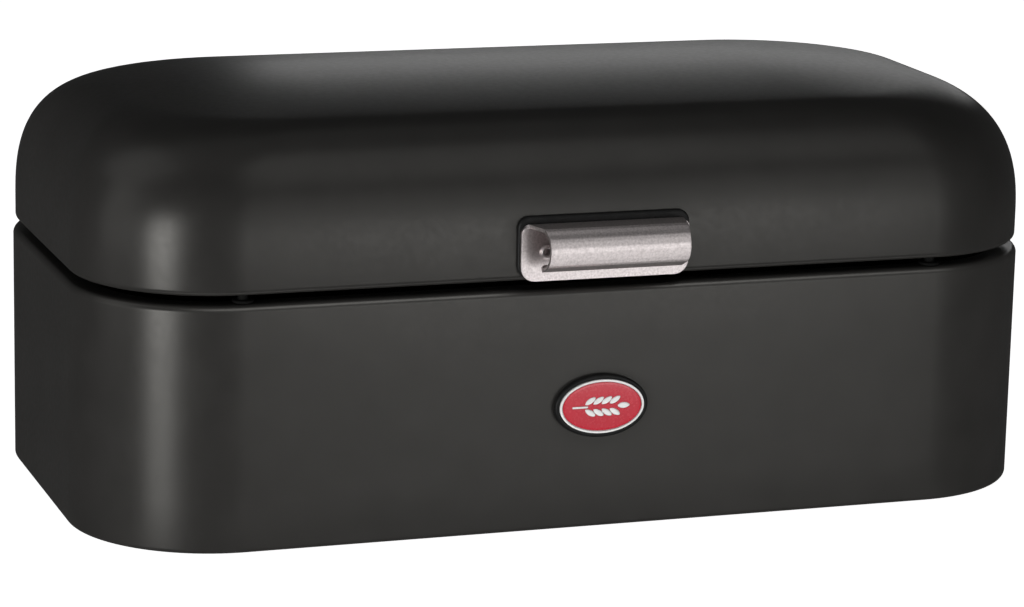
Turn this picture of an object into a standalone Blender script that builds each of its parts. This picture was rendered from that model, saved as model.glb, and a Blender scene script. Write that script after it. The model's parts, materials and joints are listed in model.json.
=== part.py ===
"""A bread bin of drawn sheet steel: a rounded tub, and a domed lid that swings back on two rear hinges.

Sizes are in metres. The drawing's origin is the middle of the tub's underside, with +X along the length,
the front at -Y and +Z up. One parent empty moves the whole bin so that the world origin is the middle of
its bounding box, on the surface that it stands on.
"""

import math

import bmesh
import bpy
from mathutils import Matrix, Vector

MM = 0.001
GAP = 0.3 * MM

# Tub and lid
LENGTH = 420 * MM
DEPTH = 220 * MM
CORNER_RADIUS = 60 * MM
SHEET = 0.8 * MM
TUB_HEIGHT = 102 * MM
TUB_FLOOR_RADIUS = 2 * MM
TUB_RIM_RADIUS = 4 * MM
LID_BOTTOM = 106 * MM
LID_INSET = 1 * MM
LID_EDGE_RADIUS = 2.5 * MM
DOME_START = 115.5 * MM
DOME_INSET = 44 * MM
DOME_RISE = 56 * MM
DOME_EXPONENT = 2.63
DOME_CORNER_RADIUS = 64 * MM
CROWN = 4.6 * MM
CROWN_ANGLE = math.radians(81.4)
FLANGE_WIDTH = 12 * MM
FLANGE_LIP = 3 * MM
CORNER_STEPS = 7
DOME_STEPS = 7

# Pressed floor and feet
FLOOR_BORDER = 26 * MM
FLOOR_STEP = 1.5 * MM
FOOT_RADIUS = 7 * MM
FOOT_DROP = 2.5 * MM
FOOT_PLACE = (180 * MM, 80 * MM)

# Vents in the rear wall
VENT_COUNT = 12
VENT_RADIUS = 2.5 * MM
VENT_SPACING = 12 * MM
VENT_HEIGHT = 82 * MM

# Hinges
HINGE_X = 120 * MM
HINGE_Z = (TUB_HEIGHT + LID_BOTTOM) / 2
HINGE_Y = DEPTH / 2
LEAF_WIDTH = 40 * MM
LEAF_THICKNESS = 1 * MM
LEAF_REACH = 11.5 * MM
TONGUE_REACH = 8 * MM
KNUCKLE_RADIUS = 2.2 * MM
PIN_RADIUS = 1 * MM
LID_KNUCKLE_WIDTH = 13.6 * MM
HINGE_RIVET_Y = 102 * MM
HINGE_RIVET_RADIUS = 1.5 * MM
TUB_RIVET_OFFSET = 14 * MM
LID_RIVET_OFFSET = 7 * MM

# Handle: flat plate with a hooded grip folded out of its top edge
PLATE_HALF_WIDTH = 36.4 * MM
PLATE_BOTTOM = 106.4 * MM
PLATE_TOP = 130 * MM
PLATE_CORNER = 5 * MM
PLATE_FACE_Y = -112.4 * MM
HANDLE_SHEET = 1.5 * MM
HOOD_HALF_WIDTH = 30.2 * MM
HOOD_CREASE = Vector((-124.3 * MM, 130.5 * MM))
HOOD_BULGE = Vector((-131 * MM, 122.5 * MM))
HOOD_FOLD = Vector((-127.5 * MM, 115 * MM))
HOOD_LIP = Vector((-119.9 * MM, 111.5 * MM))
HOOD_TIP = Vector((-118.9 * MM, 114.5 * MM))
BACKING_HALF_WIDTH = 37.2 * MM
BACKING_BOTTOM = 107.6 * MM
BACKING_TOP = 133 * MM
HANDLE_RIVET_X = 25.5 * MM
HANDLE_RIVET_Z = 118.5 * MM
HANDLE_RIVET_RADIUS = 1.6 * MM
WASHER_RADIUS = 4 * MM

# Badge on the front of the tub
BADGE_Z = 52.4 * MM
BADGE_HALF = (18.4 * MM, 11.4 * MM)
BADGE_RIM = 0.9 * MM
CARRIER_BORDER = 2 * MM
EAR_GRAINS = 4

# Rubber buffers that the lid rests on
BUFFER_X = 150 * MM
BUFFER_Y = 102.5 * MM
BUFFER_RADIUS = 4.4 * MM
BUFFER_NUB_RADIUS = 2 * MM


# ---------------------------------------------------------------- scene and helpers

for thing in list(bpy.data.objects):
    bpy.data.objects.remove(thing, do_unlink=True)

bin_parts = bpy.data.collections.new("bread_bin")
cutters = bpy.data.collections.new("cutters")
cutters.hide_render = True
bpy.context.scene.collection.children.link(bin_parts)
bpy.context.scene.collection.children.link(cutters)


def add_empty(name, place, parent=None):
    empty = bpy.data.objects.new(name, None)
    empty.empty_display_size = 0.02
    empty.location = place
    empty.parent = parent
    bin_parts.objects.link(empty)
    return empty


def make_material(name, colour, roughness, metallic=0.0):
    material = bpy.data.materials.new(name)
    material.use_nodes = True
    shader = material.node_tree.nodes["Principled BSDF"]
    shader.inputs["Base Color"].default_value = (*colour, 1.0)
    shader.inputs["Roughness"].default_value = roughness
    shader.inputs["Metallic"].default_value = metallic
    return material


def place_in_bin(obj, material, parent):
    """Puts a piece drawn in the drawing's frame under its parent, without moving it."""
    obj.data.materials.append(material)
    bin_parts.objects.link(obj)
    obj.parent = parent
    origin = Vector(parent.location) if parent is not bin_origin else Vector()
    obj.location = Vector(obj.location) - origin
    return obj


def as_cutter(obj):
    obj.hide_render = True
    obj.display_type = "WIRE"
    cutters.objects.link(obj)
    obj.parent = bin_origin
    return obj


def add_boolean(obj, other, operation):
    modifier = obj.modifiers.new(operation.lower(), "BOOLEAN")
    modifier.operation = operation
    modifier.solver = "EXACT"
    modifier.object = other


def shade(mesh):
    mesh.shade_smooth()
    mesh.set_sharp_from_angle(angle=math.radians(35))


def object_from(bm, name):
    mesh = bpy.data.meshes.new(name)
    bm.to_mesh(mesh)
    bm.free()
    shade(mesh)
    return bpy.data.objects.new(name, mesh)


def arc_points(centre, radius, start, end, steps):
    """Points on a circle, from one angle in degrees to another."""
    angles = [math.radians(start + (end - start) * i / steps) for i in range(steps + 1)]
    return [Vector((centre[0] + radius * math.cos(a), centre[1] + radius * math.sin(a))) for a in angles]


def rounded_rectangle(half_x, half_y, radius, steps):
    """The outline of a rectangle with round corners, anticlockwise from the corner at +X +Y."""
    points = []
    for quarter, (side_x, side_y) in enumerate(((1, 1), (-1, 1), (-1, -1), (1, -1))):
        centre = (side_x * (half_x - radius), side_y * (half_y - radius))
        points += arc_points(centre, radius, 90 * quarter, 90 * quarter + 90, steps)
    return points


def ellipse(half_x, half_y, steps):
    angles = [2 * math.pi * i / steps for i in range(steps)]
    return [Vector((half_x * math.cos(a), half_y * math.sin(a))) for a in angles]


def extruded(name, outline, thickness, to_world):
    """A flat outline made solid, as a mesh: thickness is centred on the plane that to_world puts it in."""
    curve = bpy.data.curves.new(name, "CURVE")
    curve.dimensions = "2D"
    curve.fill_mode = "BOTH"
    curve.extrude = thickness / 2
    spline = curve.splines.new("POLY")
    spline.points.add(len(outline) - 1)
    for point, place in zip(spline.points, outline):
        point.co = (place[0], place[1], 0, 1)
    spline.use_cyclic_u = True
    source = bpy.data.objects.new(name, curve)
    bin_parts.objects.link(source)
    graph = bpy.context.evaluated_depsgraph_get()
    mesh = bpy.data.meshes.new_from_object(source.evaluated_get(graph))
    bpy.data.objects.remove(source)
    bm = bmesh.new()
    bm.from_mesh(mesh)
    bmesh.ops.remove_doubles(bm, verts=bm.verts, dist=0.01 * MM)
    bmesh.ops.transform(bm, matrix=to_world, verts=bm.verts)
    bmesh.ops.recalc_face_normals(bm, faces=bm.faces)
    bpy.data.meshes.remove(mesh)
    return object_from(bm, name)


def facing_front(y):
    """Takes an outline in X and Z to the upright plane at y."""
    return Matrix.Translation((0, y, 0)) @ Matrix.Rotation(math.radians(90), 4, "X")


def across(x):
    """Takes an outline in Y and Z to the plane at x, square to the length."""
    return Matrix(((0, 0, 1, x), (1, 0, 0, 0), (0, 1, 0, 0), (0, 0, 0, 1)))


def turned(name, profile, steps, place=(0, 0, 0), rotation=(0, 0, 0), closed=False):
    """A turned piece: the profile is (radius, height) down its outer side, swept round Z."""
    mesh = bpy.data.meshes.new(name)
    edges = [(i, i + 1) for i in range(len(profile) - 1)]
    if closed:
        edges.append((len(profile) - 1, 0))
    mesh.from_pydata([(radius, 0, height) for radius, height in profile], edges, [])
    obj = bpy.data.objects.new(name, mesh)
    obj.location = place
    obj.rotation_euler = rotation
    screw = obj.modifiers.new("turn", "SCREW")
    screw.steps = steps
    screw.render_steps = steps
    screw.use_merge_vertices = True
    screw.merge_threshold = 0.00001
    screw.use_smooth_shade = True
    return obj


def drill(name, radius, places, half_length, rotation=(0, 0, 0), steps=12):
    """One cutter holding a straight round hole at each place."""
    bm = bmesh.new()
    for place in places:
        turn = Matrix.Translation(place) @ Matrix.Rotation(rotation[0], 4, "X")
        bmesh.ops.create_cone(
            bm, cap_ends=True, segments=steps, radius1=radius, radius2=radius, depth=2 * half_length, matrix=turn
        )
    return as_cutter(object_from(bm, name))


def loft(name, sections, thickness):
    """A shell through rounded outlines of one point count, closed by the last one, its sheet laid inwards.

    Each section is (inset, radius, height): how far the outline lies inside the bin's own.
    """
    bm = bmesh.new()
    loops = []
    for inset, radius, height in sections:
        outline = rounded_rectangle(LENGTH / 2 - inset, DEPTH / 2 - inset, radius, CORNER_STEPS)
        loops.append([bm.verts.new((x, y, height)) for x, y in outline])
    for lower, upper in zip(loops, loops[1:]):
        for i, vertex in enumerate(lower):
            j = (i + 1) % len(lower)
            bm.faces.new((vertex, lower[j], upper[j], upper[i]))
    bm.faces.new(loops[-1])
    if sections[-1][2] < sections[0][2]:
        bmesh.ops.reverse_faces(bm, faces=bm.faces)
    obj = object_from(bm, name)
    sheet = obj.modifiers.new("sheet", "SOLIDIFY")
    sheet.thickness = thickness
    sheet.offset = -1
    sheet.use_even_offset = True
    return obj


# ---------------------------------------------------------------- tub and lid


def rim_sections(edge_inset, edge_height, edge_radius, away):
    """The turned-in edge, from the free lip to the wall: away is +1 where the wall rises from the edge."""
    lip_inset = edge_inset + FLANGE_WIDTH
    lip_radius = CORNER_RADIUS - lip_inset
    sections = [(lip_inset, lip_radius, edge_height + away * FLANGE_LIP), (lip_inset, lip_radius, edge_height)]
    for y, z in arc_points((0, 0), edge_radius, 270, 180, 4):
        inset = edge_inset + edge_radius + y
        sections.append((inset, CORNER_RADIUS - inset, edge_height + away * (edge_radius + z)))
    return sections


def tub_sections():
    sections = rim_sections(0, TUB_HEIGHT, TUB_RIM_RADIUS, -1)
    for y, z in arc_points((0, 0), TUB_FLOOR_RADIUS, 180, 270, 4):
        inset = TUB_FLOOR_RADIUS + y
        sections.append((inset, CORNER_RADIUS - inset, TUB_FLOOR_RADIUS + z))
    for inset, height in ((FLOOR_BORDER, 0), (FLOOR_BORDER + 2 * FLOOR_STEP, FLOOR_STEP)):
        sections.append((inset, CORNER_RADIUS - inset, height))
    return sections


def dome_point(angle):
    """How far the dome lies inside the lid's outline, and how high, at an angle round its shoulder."""
    share_in = 1 - math.cos(angle) ** (2 / DOME_EXPONENT)
    share_up = math.sin(angle) ** (2 / DOME_EXPONENT)
    return share_in, DOME_START + DOME_RISE * share_up


def dome_inset_at(height):
    """The dome's inset at a given height on the straight front wall."""
    share_up = max(0, (height - DOME_START) / DOME_RISE)
    angle = math.asin(share_up ** (DOME_EXPONENT / 2))
    return LID_INSET + DOME_INSET * (1 - math.cos(angle) ** (2 / DOME_EXPONENT))


def lid_sections():
    sections = rim_sections(LID_INSET, LID_BOTTOM, LID_EDGE_RADIUS, 1)
    wall_radius = CORNER_RADIUS - LID_INSET
    first = math.radians(12)
    for step in range(DOME_STEPS + 1):
        share_in, height = dome_point(first + (CROWN_ANGLE - first) * step / DOME_STEPS)
        inset = LID_INSET + DOME_INSET * share_in
        radius = wall_radius + (DOME_CORNER_RADIUS - wall_radius) * share_in
        sections.append((inset, radius, height))
    half = DEPTH / 2 - inset
    squareness = 1 - radius / half
    for out in (0.7, 0.4, 0.1):
        rounded = half * out * (1 - squareness * out**4)
        sections.append((DEPTH / 2 - half * out, rounded, height + CROWN * (1 - out**2)))
    return sections


def build_tub():
    tub = place_in_bin(loft("base_tub", tub_sections(), SHEET), painted_steel, bin_origin)
    first = -(VENT_COUNT - 1) / 2
    vents = [((first + i) * VENT_SPACING, DEPTH / 2, VENT_HEIGHT) for i in range(VENT_COUNT)]
    upright = (math.radians(90), 0, 0)
    add_boolean(tub, drill("vent_holes", VENT_RADIUS, vents, 5 * MM, upright), "DIFFERENCE")
    rim_holes = [(x, HINGE_RIVET_Y, TUB_HEIGHT) for x in tub_rivet_x()]
    rim_holes += [(x, y, TUB_HEIGHT) for x in (-BUFFER_X, BUFFER_X) for y in (-BUFFER_Y, BUFFER_Y)]
    add_boolean(tub, drill("rim_holes", 1.8 * MM, rim_holes, 2 * MM), "DIFFERENCE")
    floor_holes = [(x, y, 0) for x, y in foot_places()]
    add_boolean(tub, drill("foot_holes", 2.3 * MM, floor_holes, 3 * MM), "DIFFERENCE")


def build_lid():
    lid = place_in_bin(loft("lid_shell", lid_sections(), SHEET), painted_steel, lid_axis)
    rim_holes = [(x, HINGE_RIVET_Y, LID_BOTTOM) for x in lid_rivet_x()]
    add_boolean(lid, drill("lid_rim_holes", 1.8 * MM, rim_holes, 2 * MM), "DIFFERENCE")
    add_boolean(lid, handle_holes, "DIFFERENCE")


# ---------------------------------------------------------------- feet and buffers


def foot_places():
    return [(x * FOOT_PLACE[0], y * FOOT_PLACE[1]) for x in (-1, 1) for y in (-1, 1)]


def corner_name(x, y):
    return ("front" if y < 0 else "rear") + ("_left" if x < 0 else "_right")


def build_feet():
    """Rubber buttons whose stems push through the floor and swell above it."""
    underside = -GAP
    inside = SHEET + GAP
    profile = (
        (0, inside + 1.6 * MM),
        (1.8 * MM, inside + 1.6 * MM),
        (3.2 * MM, inside + 0.5 * MM),
        (3.2 * MM, inside),
        (2 * MM, inside),
        (2 * MM, underside),
        (FOOT_RADIUS, underside),
        (FOOT_RADIUS, -FOOT_DROP + 0.7 * MM),
        (FOOT_RADIUS - 0.7 * MM, -FOOT_DROP),
        (0, -FOOT_DROP),
    )
    for x, y in foot_places():
        place_in_bin(turned("foot_" + corner_name(x, y), profile, 12, (x, y, 0)), rubber, bin_origin)


def build_buffers():
    """Rubber buttons pressed into the tub's rim, which keep the lid off the paint."""
    crown = LID_BOTTOM - GAP
    seat = TUB_HEIGHT + GAP
    under = TUB_HEIGHT - SHEET - GAP
    shoulder = seat + 1.2 * MM
    profile = (
        (0, crown),
        (0.7 * BUFFER_NUB_RADIUS, crown),
        (BUFFER_NUB_RADIUS, crown - 0.5 * MM),
        (BUFFER_NUB_RADIUS, shoulder),
        (BUFFER_RADIUS - 0.5 * MM, shoulder),
        (BUFFER_RADIUS, shoulder - 0.5 * MM),
        (BUFFER_RADIUS, seat),
        (1.5 * MM, seat),
        (1.5 * MM, under),
        (2.5 * MM, under),
        (2.5 * MM, under - 0.6 * MM),
        (1.2 * MM, under - 1.8 * MM),
        (0, under - 1.8 * MM),
    )
    for x in (-BUFFER_X, BUFFER_X):
        for y in (-BUFFER_Y, BUFFER_Y):
            place_in_bin(turned("lid_buffer_" + corner_name(x, y), profile, 10, (x, y, 0)), rubber, bin_origin)


# ---------------------------------------------------------------- hinges


def tub_rivet_x():
    return [side * HINGE_X + step for side in (-1, 1) for step in (-TUB_RIVET_OFFSET, TUB_RIVET_OFFSET)]


def lid_rivet_x():
    return [side * HINGE_X + step for side in (-1, 1) for step in (-LID_RIVET_OFFSET, LID_RIVET_OFFSET)]


def block(name, low, high):
    bm = bmesh.new()
    bmesh.ops.create_cube(bm, size=1)
    size = Vector(high) - Vector(low)
    middle = (Vector(high) + Vector(low)) / 2
    bmesh.ops.transform(bm, matrix=Matrix.Translation(middle) @ Matrix.Diagonal((*size, 1)), verts=bm.verts)
    return object_from(bm, name)


def barrel(name, radius, centre_x, width):
    """A cylinder round the hinge line."""
    bm = bmesh.new()
    turn = Matrix.Translation((centre_x, HINGE_Y, HINGE_Z)) @ Matrix.Rotation(math.radians(90), 4, "Y")
    bmesh.ops.create_cone(bm, cap_ends=True, segments=16, radius1=radius, radius2=radius, depth=width, matrix=turn)
    return as_cutter(object_from(bm, name))


def build_leaf(side, owner, parent, material, bore, is_lid):
    """A flat leaf with its knuckles. The tub's leaf runs on past the pin as a tongue that stops the lid."""
    centre = side * HINGE_X
    name = f"hinge_{'left' if side < 0 else 'right'}_{owner}_leaf"
    lid_half = LID_KNUCKLE_WIDTH / 2
    knuckle_gap = 0.4 * MM
    outer_width = LEAF_WIDTH / 2 - lid_half - knuckle_gap
    outer_x = LEAF_WIDTH / 2 - outer_width / 2
    if is_lid:
        low_z = LID_BOTTOM - GAP - LEAF_THICKNESS
        end_y = HINGE_Y
        own, other = [(0, LID_KNUCKLE_WIDTH)], [(-outer_x, outer_width), (outer_x, outer_width)]
    else:
        low_z = TUB_HEIGHT + GAP
        end_y = HINGE_Y + TONGUE_REACH
        own, other = [(-outer_x, outer_width), (outer_x, outer_width)], [(0, LID_KNUCKLE_WIDTH)]
    low = (centre - LEAF_WIDTH / 2, HINGE_Y - LEAF_REACH, low_z)
    high = (centre + LEAF_WIDTH / 2, end_y, low_z + LEAF_THICKNESS)
    leaf = place_in_bin(block(name, low, high), material, parent)
    clear = KNUCKLE_RADIUS + GAP
    for index, (offset, width) in enumerate(other):
        reach = width / 2 + knuckle_gap
        low = (centre + offset - reach, HINGE_Y - clear, low_z - 2 * MM)
        high = (centre + offset + reach, HINGE_Y + 2 * TONGUE_REACH, low_z + 3 * MM)
        add_boolean(leaf, as_cutter(block(f"{name}_notch_{index}", low, high)), "DIFFERENCE")
    for index, (offset, width) in enumerate(own):
        add_boolean(leaf, barrel(f"{name}_knuckle_{index}", KNUCKLE_RADIUS, centre + offset, width), "UNION")
    add_boolean(leaf, bore, "DIFFERENCE")
    rivets = lid_rivet_x() if is_lid else tub_rivet_x()
    holes = [(x, HINGE_RIVET_Y, low_z) for x in rivets if x * side > 0]
    add_boolean(leaf, drill(name + "_holes", 1.8 * MM, holes, 3 * MM), "DIFFERENCE")


def build_hinge_rivets(owner, parent, places, sheet_low, leaf_side):
    """Rivets through a rim and a leaf: leaf_side is +1 where the leaf lies above the rim."""
    rim_low, rim_high = sheet_low, sheet_low + SHEET
    stack = LEAF_THICKNESS + 2 * GAP
    low = rim_low - GAP if leaf_side > 0 else rim_low - stack
    high = rim_high + stack if leaf_side > 0 else rim_high + GAP
    thin, tall = 0.5 * MM, 0.8 * MM
    top, bottom = (thin, tall) if leaf_side > 0 else (tall, thin)
    shank = HINGE_RIVET_RADIUS
    head = 2.6 * MM
    profile = (
        (0, high + top),
        (0.7 * head, high + top),
        (head, high + 0.4 * top),
        (head, high),
        (shank, high),
        (shank, low),
        (head, low),
        (head, low - 0.4 * bottom),
        (0.7 * head, low - bottom),
        (0, low - bottom),
    )
    for index, x in enumerate(places):
        side = "left" if x < 0 else "right"
        name = f"hinge_{side}_{owner}_rivet_{index % 2 + 1}"
        place_in_bin(turned(name, profile, 8, (x, HINGE_RIVET_Y, 0)), bright_steel, parent)


def build_hinges():
    for side in (-1, 1):
        bore = barrel(f"bore_{side}", PIN_RADIUS + GAP, side * HINGE_X, LEAF_WIDTH + 4 * MM)
        build_leaf(side, "tub", bin_origin, bright_steel, bore, False)
        build_leaf(side, "lid", lid_axis, bright_steel, bore, True)
        half = LEAF_WIDTH / 2 + GAP
        profile = (
            (0, half + 0.8 * MM),
            (1.2 * MM, half + 0.8 * MM),
            (1.8 * MM, half + 0.4 * MM),
            (1.8 * MM, half),
            (PIN_RADIUS, half),
            (PIN_RADIUS, -half),
            (1.8 * MM, -half),
            (1.8 * MM, -half - 0.4 * MM),
            (1.2 * MM, -half - 0.8 * MM),
            (0, -half - 0.8 * MM),
        )
        name = f"hinge_{'left' if side < 0 else 'right'}_pin"
        place = (side * HINGE_X, HINGE_Y, HINGE_Z)
        place_in_bin(turned(name, profile, 12, place, (0, math.radians(90), 0)), bright_steel, bin_origin)
    build_hinge_rivets("tub", bin_origin, tub_rivet_x(), TUB_HEIGHT - SHEET, 1)
    build_hinge_rivets("lid", lid_axis, lid_rivet_x(), LID_BOTTOM, -1)


# ---------------------------------------------------------------- handle


def arc_through(first, middle, last, steps):
    """Points on the circle through three points, from the first to the last."""
    a, b = middle - first, last - first
    cross = 2 * (a.x * b.y - a.y * b.x)
    offset = Vector((b.y * a.dot(a) - a.y * b.dot(b), a.x * b.dot(b) - b.x * a.dot(a))) / cross
    centre = first + offset
    start = math.degrees(math.atan2(*reversed(first - centre))) % 360
    end = math.degrees(math.atan2(*reversed(last - centre))) % 360
    return arc_points(centre, offset.length, start, end, steps)


def sheet_outline(path, thickness):
    """The closed outline of a sheet whose outer face follows the path, with its metal on the right."""
    inner = []
    for i, point in enumerate(path):
        before = (point - path[i - 1]).normalized() if i else (path[1] - point).normalized()
        after = (path[i + 1] - point).normalized() if i + 1 < len(path) else before
        normal = (Vector((before.y, -before.x)) + Vector((after.y, -after.x))).normalized()
        stretch = normal.dot(Vector((after.y, -after.x)))
        inner.append(point + normal * thickness / stretch)
    return path + inner[::-1]


def hood_path():
    """The hood's outer face in Y and Z, from its lip round to the plate."""
    front = arc_through(HOOD_CREASE, HOOD_BULGE, HOOD_FOLD, 8)
    root = Vector((PLATE_FACE_Y + 0.5 * HANDLE_SHEET, PLATE_TOP))
    return [HOOD_TIP, HOOD_LIP] + front[::-1] + [root]


def build_handle():
    middle_z = (PLATE_TOP + PLATE_BOTTOM) / 2
    half_height = (PLATE_TOP - PLATE_BOTTOM) / 2
    outline = rounded_rectangle(PLATE_HALF_WIDTH, half_height, PLATE_CORNER, 6)
    to_plate = Matrix.Translation((0, 0, middle_z)) @ facing_front(PLATE_FACE_Y + HANDLE_SHEET / 2)
    grip = place_in_bin(extruded("handle_grip", outline, HANDLE_SHEET, to_plate), satin_nickel, lid_axis)
    hood = extruded("hood", sheet_outline(hood_path(), HANDLE_SHEET), 2 * HOOD_HALF_WIDTH, across(0))
    add_boolean(grip, as_cutter(hood), "UNION")
    add_boolean(grip, handle_holes, "DIFFERENCE")

    low, high = BACKING_BOTTOM, BACKING_TOP
    outline = rounded_rectangle(BACKING_HALF_WIDTH, (high - low) / 2, PLATE_CORNER, 6)
    front = PLATE_FACE_Y + HANDLE_SHEET + GAP
    deep = 6 * MM
    to_backing = Matrix.Translation((0, 0, (low + high) / 2)) @ facing_front(front + deep / 2)
    backing = place_in_bin(extruded("handle_backing", outline, deep, to_backing), black_plastic, lid_axis)
    heights = [low - 5 * MM + (high - low + 10 * MM) * i / 10 for i in range(11)]
    wall = [Vector((-DEPTH / 2 + dome_inset_at(z) - GAP, z)) for z in heights]
    wall += [Vector((-DEPTH / 2 + 20 * MM, heights[-1])), Vector((-DEPTH / 2 + 20 * MM, heights[0]))]
    add_boolean(backing, as_cutter(extruded("lid_front", wall, 4 * BACKING_HALF_WIDTH, across(0))), "DIFFERENCE")
    add_boolean(backing, handle_holes, "DIFFERENCE")


def build_handle_rivets():
    """Tubular rivets from the plate through the backing and the lid, set on a washer inside."""
    facet_slack = 0.2 * MM
    wall_y = -DEPTH / 2 + dome_inset_at(HANDLE_RIVET_Z + WASHER_RADIUS) + SHEET + facet_slack
    reach = wall_y + 2 * GAP + 1 * MM - PLATE_FACE_Y
    shank = HANDLE_RIVET_RADIUS
    profile = (
        (0, -2 * MM),
        (1.2 * MM, -2 * MM),
        (1.2 * MM, GAP),
        (1.75 * MM, GAP + 1.2 * MM),
        (2.1 * MM, GAP + 1.2 * MM),
        (2.7 * MM, GAP + 0.4 * MM),
        (2.7 * MM, GAP),
        (shank, GAP),
        (shank, -reach - GAP),
        (2.3 * MM, -reach - GAP),
        (2.3 * MM, -reach - 1.2 * MM),
        (1.4 * MM, -reach - 1.8 * MM),
        (0, -reach - 1.8 * MM),
    )
    washer = (
        (HANDLE_RIVET_RADIUS + GAP, GAP + 1 * MM),
        (WASHER_RADIUS, GAP + 1 * MM),
        (WASHER_RADIUS, GAP),
        (HANDLE_RIVET_RADIUS + GAP, GAP),
    )
    to_front = (math.radians(90), 0, 0)
    to_rear = (math.radians(-90), 0, 0)
    for side, name in ((-1, "left"), (1, "right")):
        place = (side * HANDLE_RIVET_X, PLATE_FACE_Y, HANDLE_RIVET_Z)
        rivet = turned("handle_rivet_" + name, profile, 12, place, to_front)
        place_in_bin(rivet, satin_nickel, lid_axis)
        place = (side * HANDLE_RIVET_X, wall_y, HANDLE_RIVET_Z)
        ring = turned("handle_washer_" + name, washer, 12, place, to_rear, closed=True)
        place_in_bin(ring, bright_steel, lid_axis)


# ---------------------------------------------------------------- badge


def grain_outline(length, width, middle, angle, steps=6):
    """A pointed oval, as a grain of wheat lies on its stalk."""
    points = []
    for i in range(2 * steps):
        along = math.cos(math.pi * i / steps)
        side = math.copysign(abs(math.sin(math.pi * i / steps)) ** 1.3, math.sin(math.pi * i / steps))
        x, y = along * length / 2, side * width / 2
        turn = math.radians(angle)
        points.append(
            Vector((middle[0] + x * math.cos(turn) - y * math.sin(turn),
                    middle[1] + x * math.sin(turn) + y * math.cos(turn)))
        )
    return points


def ear_outlines(grow):
    """The ear of wheat: pairs of grains along a stalk and one at its tip, each outline grown a little."""
    outlines = [grain_outline(5.2 * MM + 2 * grow, 2.4 * MM + 2 * grow, (9.4 * MM, 0), 0)]
    for i in range(EAR_GRAINS):
        x = 5.6 * MM - 3.6 * MM * i
        for side in (-1, 1):
            middle = (x, side * 2.5 * MM)
            outlines.append(grain_outline(5.2 * MM + 2 * grow, 2.2 * MM + 2 * grow, middle, side * 32))
    stalk = rounded_rectangle(3.4 * MM + grow, 0.4 * MM + grow, 0.35 * MM + grow, 2)
    outlines.append([point + Vector((-9.6 * MM, 0)) for point in stalk])
    return outlines


def badge_layer(name, outline, front, back):
    """A flat layer of the badge between two distances out from the tub's front wall."""
    to_layer = Matrix.Translation((0, 0, BADGE_Z)) @ facing_front(-DEPTH / 2 - (front + back) / 2)
    return extruded(name, outline, front - back, to_layer)


def build_badge():
    """An adhesive pad, a black carrier, a white metal plate with raised lines, and red enamel in its well."""
    half_x, half_z = BADGE_HALF
    carrier_half = (half_x + CARRIER_BORDER, half_z + CARRIER_BORDER)
    pad_front = GAP + 0.6 * MM
    carrier_back, carrier_front = pad_front + GAP, pad_front + GAP + 2 * MM
    plate_back = carrier_front - 1.2 * MM + GAP
    plate_front = plate_back + 1.3 * MM
    well = plate_back + 0.5 * MM
    enamel_back, enamel_front = well + GAP, plate_front - 0.1 * MM

    pad = badge_layer("badge_adhesive_pad", ellipse(half_x - 2 * MM, half_z - 2 * MM, 28), pad_front, GAP)
    place_in_bin(pad, rubber, bin_origin)

    carrier = badge_layer("badge_carrier", ellipse(*carrier_half, 36), carrier_front, carrier_back)
    place_in_bin(carrier, black_plastic, bin_origin)
    seat = ellipse(half_x + GAP, half_z + GAP, 36)
    seat_cut = badge_layer("badge_seat", seat, carrier_front + 1 * MM, carrier_front - 1.2 * MM)
    add_boolean(carrier, as_cutter(seat_cut), "DIFFERENCE")

    plate = badge_layer("badge_plate", ellipse(half_x, half_z, 36), plate_front, plate_back)
    place_in_bin(plate, white_metal, bin_origin)
    well_half = (half_x - BADGE_RIM, half_z - BADGE_RIM)
    well_cut = badge_layer("badge_well", ellipse(*well_half, 36), plate_front + 1 * MM, well)
    add_boolean(plate, as_cutter(well_cut), "DIFFERENCE")

    enamel_half = (well_half[0] - GAP, well_half[1] - GAP)
    enamel = badge_layer("badge_enamel", ellipse(*enamel_half, 36), enamel_front, enamel_back)
    place_in_bin(enamel, red_enamel, bin_origin)
    raised = zip(ear_outlines(0), ear_outlines(GAP))
    for index, (outline, hole) in enumerate(raised):
        lift = badge_layer(f"badge_grain_{index}", outline, plate_front, well - 0.2 * MM)
        add_boolean(plate, as_cutter(lift), "UNION")
        clear = badge_layer(f"badge_grain_hole_{index}", hole, plate_front + 1 * MM, well)
        add_boolean(enamel, as_cutter(clear), "DIFFERENCE")


# ---------------------------------------------------------------- assembly

painted_steel = make_material("painted_steel", (0.045, 0.043, 0.041), 0.55)
satin_nickel = make_material("satin_nickel", (0.62, 0.57, 0.56), 0.38, 1.0)
bright_steel = make_material("bright_steel", (0.6, 0.6, 0.6), 0.35, 1.0)
black_plastic = make_material("black_plastic", (0.015, 0.015, 0.015), 0.5)
rubber = make_material("rubber", (0.02, 0.02, 0.02), 0.8)
white_metal = make_material("white_metal", (0.85, 0.85, 0.84), 0.3)
red_enamel = make_material("red_enamel", (0.62, 0.03, 0.05), 0.2)

handle_front = min(point.x for point in hood_path())
tongue_rear = HINGE_Y + TONGUE_REACH
bin_origin = add_empty("bin_origin", (0, -(handle_front + tongue_rear) / 2, FOOT_DROP))
lid_axis = add_empty("lid_axis", (0, HINGE_Y, HINGE_Z), bin_origin)
handle_holes = drill(
    "handle_holes",
    HANDLE_RIVET_RADIUS + GAP,
    [(side * HANDLE_RIVET_X, PLATE_FACE_Y, HANDLE_RIVET_Z) for side in (-1, 1)],
    12 * MM,
    (math.radians(90), 0, 0),
    16,
)

build_tub()
build_lid()
build_feet()
build_buffers()
build_hinges()
build_handle()
build_handle_rivets()
build_badge()
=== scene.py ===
"""Looks of the bread bin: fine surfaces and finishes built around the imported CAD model, in metres."""

import json
import math

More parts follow.
